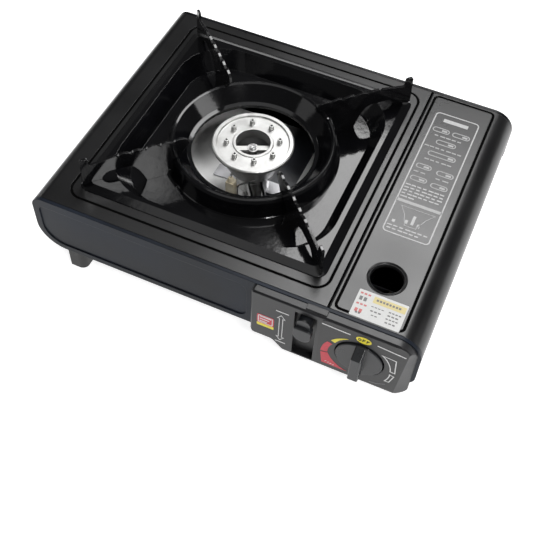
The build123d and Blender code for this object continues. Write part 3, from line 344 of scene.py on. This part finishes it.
# ---------------------------------------------------------------------------
# Moulded black plastic: feet, control panel, guide, igniter and cam.
# Injection moulded with a spark eroded texture, duller than the paint.
# ---------------------------------------------------------------------------
dress(finish("foot_moulding", (0.012, 0.012, 0.012), (0.024, 0.024, 0.024), (0.46, 0.60), 60.0, 900.0,
             0.05 * mm), "foot_front_left", "foot_front_right", "foot_rear_left", "foot_rear_right")
dress(finish("panel_moulding", (0.010, 0.010, 0.011), (0.018, 0.018, 0.020), (0.30, 0.42), 30.0, 1300.0,
             0.03 * mm, round_edge=0.6 * mm), "control_panel")
dress(finish("guide_moulding", (0.005, 0.005, 0.006), (0.010, 0.010, 0.011), (0.40, 0.52), 60.0, 1300.0,
             0.03 * mm), "lever_guide", "igniter_housing", "ignition_cam")

# ---------------------------------------------------------------------------
# Knob and lever pad.
# Moulded in the same black but with a finer, silkier skin that takes the
# light in soft bluish bands over the rounded grip.
# ---------------------------------------------------------------------------
dress(finish("knob_moulding", (0.011, 0.012, 0.014), (0.018, 0.019, 0.022), (0.26, 0.36), 70.0, 1700.0,
             0.015 * mm, round_edge=0.7 * mm), "knob")
dress(finish("pad_moulding", (0.009, 0.010, 0.012), (0.017, 0.018, 0.021), (0.28, 0.38), 70.0, 1700.0,
             0.015 * mm, round_edge=0.8 * mm), "lever_pad")

# ---------------------------------------------------------------------------
# Marks printed on the control panel and a pale grey crescent under the knob,
# each a skin a tenth of a millimetre thick, and the printed dial plate they lie on.
# ---------------------------------------------------------------------------
body_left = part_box("front_plate")[0].x
body_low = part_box("top_plate")[1].z - 58.3 * mm
panel_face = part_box("control_panel")[0].y
ink_depth = 0.12 * mm


def skin(name, edge_a, edge_b, place, low, high, material, body, closed=False):
    """Thin closed skin between two edges: each row of points is the section a-low, b-low, b-high,
    a-high, carried from the first point of the edges to the last. Heights low and high are metres
    above the face that place() maps edge points (mm) and heights onto."""
    a = np.asarray(edge_a, float)
    b = np.asarray(edge_b, float)
    rows = np.stack([place(a, low), place(b, low), place(b, high), place(a, high)], axis=1)
    count = len(a)
    index = np.arange(count * 4).reshape(count, 4)
    following = np.roll(index, -1, axis=0) if closed else index[1:]
    current = index if closed else index[:-1]
    around = np.stack([current, np.roll(current, -1, 1), np.roll(following, -1, 1), following], 2)
    quads = around.reshape(-1, 4)
    if not closed:
        quads = np.concatenate([quads, index[:1, ::-1], index[-1:]])
    points = rows.reshape(-1, 3)
    corner = points[quads]
    volume = np.einsum("ij,ij->i", corner[:, 0], np.cross(corner[:, 1], corner[:, 2])).sum()
    volume += np.einsum("ij,ij->i", corner[:, 0], np.cross(corner[:, 2], corner[:, 3])).sum()
    if volume < 0:
        quads = quads[:, ::-1]
    mesh = bpy.data.meshes.new(name)
    mesh.from_pydata(points.tolist(), [], quads.tolist())
    mesh.materials.append(material)
    piece = bpy.data.objects.new(name, mesh)
    bpy.context.scene.collection.objects.link(piece)
    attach(piece, body)
    return piece


def on_panel(points, height):
    """Panel face: first coordinate from the body's left side, second above its bottom edge."""
    face = np.full(len(points), panel_face - height)
    return np.stack([body_left + points[:, 0] * mm, face, body_low + points[:, 1] * mm], 1)


def arc(centre, radius, start, stop, count=24):
    """Points on an arc, degrees, the radius running evenly from its first value to its last."""
    angle = np.radians(np.linspace(start, stop, count))
    span = np.linspace(*radius, count) if np.ndim(radius) else np.full(count, radius)
    return np.stack([centre[0] + span * np.cos(angle), centre[1] + span * np.sin(angle)], 1)


def round_box(low_x, high_x, low_y, high_y, radius, count=7):
    """Closed rounded rectangle: four quarter arcs joined."""
    corners = ((high_x - radius, low_y + radius, -90), (high_x - radius, high_y - radius, 0),
               (low_x + radius, high_y - radius, 90), (low_x + radius, low_y + radius, 180))
    return np.concatenate([arc((x, y), radius, turn, turn + 90, count) for x, y, turn in corners])


def inside(loop, width):
    """Closed loop moved inwards by width along the mean normal of its two sides at each point."""
    ahead = np.roll(loop, -1, 0) - loop
    ahead /= np.linalg.norm(ahead, axis=1)[:, None] + 1e-9
    behind = np.roll(ahead, 1, 0)
    mean = ahead + behind
    mean /= np.linalg.norm(mean, axis=1)[:, None] + 1e-9
    reach = width / np.clip((mean * ahead).sum(1), 0.5, 1.0)
    normal = np.stack([-mean[:, 1], mean[:, 0]], 1)
    area = 0.5 * (loop[:, 0] * np.roll(loop[:, 1], -1) - np.roll(loop[:, 0], -1) * loop[:, 1]).sum()
    return loop + normal * (reach * np.sign(area))[:, None]


def halves(loop):
    """Split a closed loop into two edges that run side by side, for a filled patch."""
    half = len(loop) // 2
    return loop[:half], loop[::-1][:half]


def bar(start, stop, width, count=2):
    """Two edges of a straight stroke."""
    start = np.asarray(start, float)
    stop = np.asarray(stop, float)
    along = (stop - start) / np.linalg.norm(stop - start)
    aside = np.array([-along[1], along[0]]) * width / 2
    line = start + np.linspace(0, 1, count)[:, None] * (stop - start)
    return line + aside, line - aside


def ink(name, dark, light, roughness=(0.35, 0.5)):
    """Printing ink: even colour with a faint mottle."""
    return finish(name, dark, light, roughness, 400.0, 2500.0, 0.01 * mm, round_edge=0.05 * mm)


white_ink = ink("white_ink", (0.60, 0.60, 0.60), (0.72, 0.72, 0.72))
crescent_grey = ink("crescent_grey", (0.20, 0.20, 0.22), (0.30, 0.30, 0.32))
yellow_ink = ink("yellow_ink", (0.72, 0.60, 0.03), (0.85, 0.74, 0.05))
red_ink = ink("red_ink", (0.50, 0.020, 0.04), (0.62, 0.035, 0.06))
black_ink = ink("black_ink", (0.008, 0.008, 0.008), (0.014, 0.014, 0.014))
dial_ink = ink("dial_ink", (0.008, 0.008, 0.009), (0.012, 0.012, 0.013), (0.34, 0.42))

knob_low, knob_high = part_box("knob")
dial = ((knob_low.x + knob_high.x) / 2 - body_left, 0.0)
dial = (dial[0] / mm, ((knob_low.z + knob_high.z) / 2 - body_low) / mm)
plate_depth = 0.25 * mm


def on_dial(points, height):
    """Top of the dial plate."""
    return on_panel(points, height + plate_depth)


dial_left = 260.4
dial_bottom = -9.0
dial_top = 56.2
dial_edge = np.array([0.991, -0.135])    # across the slanted right edge
dial_edge_run = 321.4
dial_hole = 20.9
corner_power = 14.0             # higher is squarer
ray = np.radians(np.arange(0, 360, 3.0))
rays = np.stack([np.cos(ray), np.sin(ray)], 1)
sides = np.array([(-1, 0), (0, -1), (0, 1), dial_edge])
room = np.array([dial[0] - dial_left, dial[1] - dial_bottom, dial_top - dial[1],
                 dial_edge_run - dial_edge @ dial])
lean = rays @ sides.T
reach = np.where(lean > 1e-6, room / np.maximum(lean, 1e-6), 1e6)
reach = (reach ** -corner_power).sum(1) ** (-1 / corner_power)
skin("dial_plate", np.array(dial) + rays * dial_hole, np.array(dial) + rays * reach[:, None],
     on_panel, -0.1 * mm, plate_depth, dial_ink, "stove_body", closed=True)

oval = round_box(-1, 1, -1, 1, 1.0, 12)
oval_at = np.array([295.6, 48.9])
skin("off_oval", *halves(oval * (6.2, 4.1) + oval_at), on_dial, -0.05 * mm, ink_depth, yellow_ink,
     "stove_body")
letter = round_box(-1.2, 1.2, -1.7, 1.7, 1.1)
skin("off_letter_1", letter + oval_at + (-3.2, 0), inside(letter, 0.65) + oval_at + (-3.2, 0),
     on_dial, 0, 2 * ink_depth, black_ink, "stove_body", closed=True)
for side in (0, 1):
    stem = oval_at + (-0.6 + 3.3 * side, 0)
    strokes = (((0, -1.7), (0, 1.7), 0.7), ((0.2, 1.35), (2.0, 1.35), 0.65), ((0.2, 0.1), (1.6, 0.1), 0.6))
    for step, (start, stop, width) in enumerate(strokes):
        skin("off_letter_%d_%d" % (side + 2, step), *bar(stem + start, stem + stop, width), on_dial,
             0, 2 * ink_depth, black_ink, "stove_body")

skin("low_heat_mark", arc(dial, (22.6, 23.3), 157, 118), arc(dial, (26.4, 23.6), 157, 118),
     on_dial, -0.05 * mm, ink_depth, yellow_ink, "stove_body")
skin("heat_mark_1", arc(dial, (23.4, 27.0), 166, 197), arc(dial, (27.8, 33.0), 166, 197),
     on_dial, -0.05 * mm, ink_depth, red_ink, "stove_body")
inner_edge = arc(dial, (27.0, 26.8), 199, 253.5, 25)
outer_edge = np.concatenate([np.linspace((263.6, 10.8), (265.6, -3.7), 9)[:-1],
                             np.linspace((265.6, -3.7), (287.3, -3.9), 17)])
skin("heat_mark_2", inner_edge, outer_edge, on_dial, -0.05 * mm, ink_depth, red_ink, "stove_body")
for step in range(4):
    start = np.array([268.3 + 2.2 * step, -0.9 - 0.55 * step])
    skin("heat_tick_%d" % step, *bar(start, start + (1.4, 1.3), 0.6), on_dial, 0, 2 * ink_depth,
         white_ink, "stove_body")

window_1 = np.concatenate([arc(dial, (25.4, 23.4), -3.9, 46.9, 12), [(323.6, 38.4), (325.0, 19.9)]])
window_2 = np.concatenate([arc(dial, (28.9, 26.3), -38.2, -11.6, 8), [(325.1, 15.5), (322.2, 4.4)]])
for step, loop in enumerate((window_1, window_2)):
    skin("lock_window_%d" % step, loop, inside(loop, 0.85), on_dial, -0.05 * mm, ink_depth,
         white_ink, "stove_body", closed=True)
# A pale grey crescent under the knob, drawn as a thin grey skin on the dial.
skin("dial_crescent", arc(dial, (29.6, 33.0), -67, -42), arc(dial, (30.2, 33.4), -67, -42),
     on_dial, -0.05 * mm, ink_depth, crescent_grey, "stove_body")
skin("panel_line_left", *bar((261.6, 50.9), (284.8, 50.2), 1.1), on_dial, -0.05 * mm, ink_depth,
     white_ink, "stove_body")
skin("panel_line_right", *bar((306.6, 49.2), (329.6, 47.2), 1.1), on_dial, -0.05 * mm, ink_depth,
     white_ink, "stove_body")

label = round_box(208.0, 222.7, 17.6, 29.8, 1.6)
skin("side_label", *halves(label), on_panel, -0.05 * mm, ink_depth, red_ink, "stove_body")
rim = round_box(208.9, 221.8, 18.5, 28.9, 1.2)
skin("side_label_rim", rim, inside(rim, 0.8), on_panel, 0, 2 * ink_depth, white_ink,
     "stove_body", closed=True)
skin("side_label_note", *halves(round_box(208.0, 222.7, 14.0, 17.6, 0.5)), on_panel, -0.05 * mm,
     ink_depth, yellow_ink, "stove_body")
for step in range(3):
    high = 27.2 - 3.2 * step
    skin("side_label_row_%d" % step, *bar((210.4, high), (220.4 - 1.7 * step, high), 1.2), on_panel,
         0, 2 * ink_depth, white_ink, "stove_body")
arrow = np.array([(226.8, 8.0), (226.8, 34.0), (224.8, 34.0), (228.5, 39.4), (232.3, 34.0),
                  (230.3, 34.0), (230.3, 8.0), (232.3, 8.0), (228.5, 2.8), (224.8, 8.0)])
skin("lever_arrow", arrow, inside(arrow, 0.6), on_panel, -0.05 * mm, ink_depth, white_ink,
     "stove_body", closed=True)
skin("lever_bar_high", *bar((223.8, 43.6), (234.6, 43.6), 1.1), on_panel, -0.05 * mm, ink_depth,
     white_ink, "stove_body")
skin("lever_bar_low", *bar((224.6, 0.4), (233.4, 0.4), 1.1), on_panel, -0.05 * mm, ink_depth,
     white_ink, "stove_body")

# ---------------------------------------------------------------------------
# Marks on the lid: a printed guide panel with a rounded outline, and a paper
# sticker near the front. Both carry plain blocks and outlines, no lettering.
# ---------------------------------------------------------------------------
lid_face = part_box("lid")[1].z
body_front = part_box("front_plate")[0].y


def on_lid(points, height):
    """Lid top: first coordinate from the body's left side, second from its front face."""
    face = np.full(len(points), lid_face + height)
    return np.stack([body_left + points[:, 0] * mm, body_front + points[:, 1] * mm, face], 1)


pale_ink = ink("pale_ink", (0.44, 0.44, 0.44), (0.54, 0.54, 0.54))
soft_ink = ink("soft_ink", (0.34, 0.34, 0.34), (0.44, 0.44, 0.44))
guide = round_box(272.7, 312.8, 91.4, 241.0, 4.0)
skin("guide_outline", guide, inside(guide, 1.1), on_lid, -0.05 * mm, ink_depth, pale_ink,
     "bay_lid", closed=True)
skin("guide_divider", *bar((273.4, 128.0), (312.2, 128.0), 3.2), on_lid, -0.05 * mm, ink_depth,
     soft_ink, "bay_lid")
skin("guide_heading", *bar((281.5, 232.6), (304.0, 232.6), 4.2), on_lid, -0.05 * mm, ink_depth,
     pale_ink, "bay_lid")
capsules = ((275.6, 291.0, 219.4), (293.5, 309.5, 219.4), (283.0, 301.0, 205.0), (280.5, 305.5, 189.5),
            (275.8, 289.6, 171.5), (294.4, 309.6, 170.0), (275.6, 290.4, 156.0), (294.0, 309.0, 154.5))
for step, (low_x, high_x, middle) in enumerate(capsules):
    capsule = round_box(low_x, high_x, middle - 2.9, middle + 2.9, 2.7, 5)
    skin("guide_picture_%d" % step, capsule, inside(capsule, 0.9), on_lid, -0.05 * mm, ink_depth,
         soft_ink, "bay_lid", closed=True)
    skin("guide_picture_fill_%d" % step, *bar((high_x - 7.0, middle), (high_x - 2.2, middle), 2.2),
         on_lid, -0.05 * mm, ink_depth, soft_ink, "bay_lid")
rows = ((279.5, 305.5, 212.2), (275.0, 309.5, 197.2), (280.0, 305.0, 181.6), (276.0, 288.5, 164.0),
        (296.0, 308.0, 162.8), (274.8, 310.0, 147.2), (274.8, 310.4, 143.6), (274.8, 309.4, 140.0),
        (274.8, 308.0, 136.4), (274.8, 288.0, 132.9), (275.0, 311.0, 99.6), (275.4, 304.0, 96.2))
for step, (low_x, high_x, high) in enumerate(rows):
    count = max(2, int((high_x - low_x) / 4.6))
    for part in range(count):
        pitch = (high_x - low_x) / count
        start = low_x + pitch * part
        wide = pitch * (0.62 + 0.25 * ((part * 7 + step * 3) % 4) / 3)
        skin("guide_row_%d_%d" % (step, part), *bar((start, high), (start + wide, high), 1.25), on_lid,
             -0.05 * mm, ink_depth, pale_ink if step > 4 else soft_ink, "bay_lid")
tray = np.array([(279.0, 123.0), (309.0, 123.0), (303.0, 115.0), (298.0, 103.0), (288.0, 103.0),
                 (284.0, 115.0)])
skin("guide_drawing", tray, inside(tray, 0.6), on_lid, -0.05 * mm, ink_depth, soft_ink, "bay_lid",
     closed=True)
for step, (x, y, tall) in enumerate(((293.5, 111.0, 10.0), (288.5, 107.5, 4.0), (299.0, 107.0, 4.0),
                                     (278.5, 104.5, 3.0))):
    skin("guide_drawing_part_%d" % step, *bar((x, y - tall / 2), (x, y + tall / 2), 2.4), on_lid,
         -0.05 * mm, ink_depth, pale_ink, "bay_lid")

paper = ink("sticker_paper", (0.58, 0.58, 0.57), (0.64, 0.64, 0.63))
cream = ink("sticker_cream", (0.60, 0.50, 0.20), (0.66, 0.56, 0.26))
rose = ink("sticker_rose", (0.50, 0.10, 0.10), (0.56, 0.14, 0.13))
ash = ink("sticker_ash", (0.09, 0.09, 0.09), (0.16, 0.16, 0.16))
skin("sticker", *halves(round_box(277.7, 317.6, 4.5, 30.0, 0.9)), on_lid, -0.5 * mm, 0.15 * mm,
     paper, "bay_lid")


def on_sticker(points, height):
    """Top of the sticker."""
    return on_lid(points, height + 0.15 * mm)


skin("sticker_header", *bar((290.6, 24.6), (316.6, 24.6), 6.2), on_sticker, -0.05 * mm, 0.06 * mm,
     cream, "bay_lid")
marks = ((293.0, 313.5, 24.8, 1.9, ash), (279.4, 288.6, 26.8, 1.5, rose), (280.0, 287.0, 22.0, 3.6, ash),
         (279.4, 288.6, 16.6, 1.5, rose), (280.2, 287.0, 10.6, 3.4, rose), (281.4, 286.0, 8.4, 1.6, ash),
         (291.0, 302.0, 18.0, 0.7, ash), (291.6, 301.0, 14.0, 1.2, ash), (293.4, 299.0, 10.4, 0.8, ash),
         (305.0, 315.6, 18.4, 1.0, ash), (305.0, 314.4, 15.2, 1.2, ash), (304.6, 315.0, 12.0, 1.0, ash),
         (305.0, 314.0, 8.6, 1.1, ash))
for step, (low_x, high_x, high, width, colour) in enumerate(marks):
    count = max(2, int((high_x - low_x) / 2.4))
    pitch = (high_x - low_x) / count
    for part in range(count):
        start = low_x + pitch * part
        skin("sticker_mark_%d_%d" % (step, part), *bar((start, high), (start + pitch * 0.68, high), width),
             on_sticker, 0.0, 0.12 * mm, colour, "bay_lid")

# ---------------------------------------------------------------------------
# Camera: a lens a little longer than normal, above and in front of the right
# end of the stove, turned a little so that the stove sits tilted in the frame.
# ---------------------------------------------------------------------------
eye = Vector((0.1833, -0.4817, 0.6390))
look = Vector((-0.2162, 0.5447, -0.8103)).normalized()
upward = Vector((-0.3468, 0.7330, 0.5852)).normalized()
across = look.cross(upward)
lens = bpy.data.cameras.new("camera")
lens.sensor_width = 36.0
lens.lens = 59.86
camera = bpy.data.objects.new("camera", lens)
camera.matrix_world = Matrix(((across.x, upward.x, -look.x, eye.x),
                              (across.y, upward.y, -look.y, eye.y),
                              (across.z, upward.z, -look.z, eye.z),
                              (0, 0, 0, 1)))
bpy.context.scene.collection.objects.link(camera)
bpy.context.scene.camera = camera

# ---------------------------------------------------------------------------
# Studio: a white floor, a dim room and seven soft lights. The big one behind
# gives the grey sheen on the flat tops, the small one in front shines into the
# burner's well, and the two narrow strips draw thin lines along the edges.
# ---------------------------------------------------------------------------
floor_half = 9.0
floor_mesh = bpy.data.meshes.new("floor")
floor_mesh.from_pydata([(-floor_half, -floor_half, 0), (floor_half, -floor_half, 0),
                        (floor_half, floor_half, 0), (-floor_half, floor_half, 0)], [], [(0, 1, 2, 3)])
floor_mesh.materials.append(finish("floor_paper", (0.50, 0.50, 0.50), (0.53, 0.53, 0.53), (0.85, 0.95),
                                   2.0, 40.0, 0.0, specular=0.1))
floor_shader = floor_mesh.materials[0].node_tree.nodes["Principled BSDF"]
floor_shader.inputs["Emission Color"].default_value = (1, 1, 1, 1)
floor_shader.inputs["Emission Strength"].default_value = 0.86
floor = bpy.data.objects.new("floor", floor_mesh)
bpy.context.scene.collection.objects.link(floor)


def soft_light(name, place, target, width, height, radiance):
    """Rectangular light of an even radiance, aimed at a point."""
    light = bpy.data.lights.new(name, "AREA")
    light.shape = "RECTANGLE"
    light.size = width
    light.size_y = height
    light.energy = radiance * np.pi * width * height
    lamp = bpy.data.objects.new(name, light)
    aim = (Vector(target) - Vector(place)).to_track_quat("-Z", "Y")
    lamp.matrix_world = Matrix.Translation(place) @ aim.to_matrix().to_4x4()
    bpy.context.scene.collection.objects.link(lamp)


soft_light("back_light", (0.08, 1.12, 1.75), (0.0, 0.0, 0.05), 0.95, 0.85, 9.0)
soft_light("top_light", (0.0, -0.1, 2.3), (0.0, 0.0, 0.0), 2.0, 2.0, 0.9)
soft_light("left_light", (-1.5, -0.9, 1.1), (0.0, 0.0, 0.05), 0.8, 0.8, 0.8)
soft_light("right_light", (1.7, 0.0, 0.8), (0.0, 0.0, 0.05), 1.4, 0.4, 4.0)
soft_light("front_light", (0.78, -0.72, 1.22), (0.0, 0.0, 0.05), 0.25, 0.25, 34.0)
soft_light("left_strip", (-1.5, 0.35, 0.62), (0.0, 0.0, 0.05), 0.7, 0.05, 16.0)
soft_light("rear_strip", (0.1, 1.7, 0.60), (0.0, 0.0, 0.05), 0.8, 0.05, 16.0)

world = bpy.data.worlds.new("studio")
world.use_nodes = True
world.node_tree.nodes["Background"].inputs["Color"].default_value = (1, 1, 1, 1)
world.node_tree.nodes["Background"].inputs["Strength"].default_value = 0.1
bpy.context.scene.world = world
bpy.context.scene.view_settings.view_transform = "Standard"
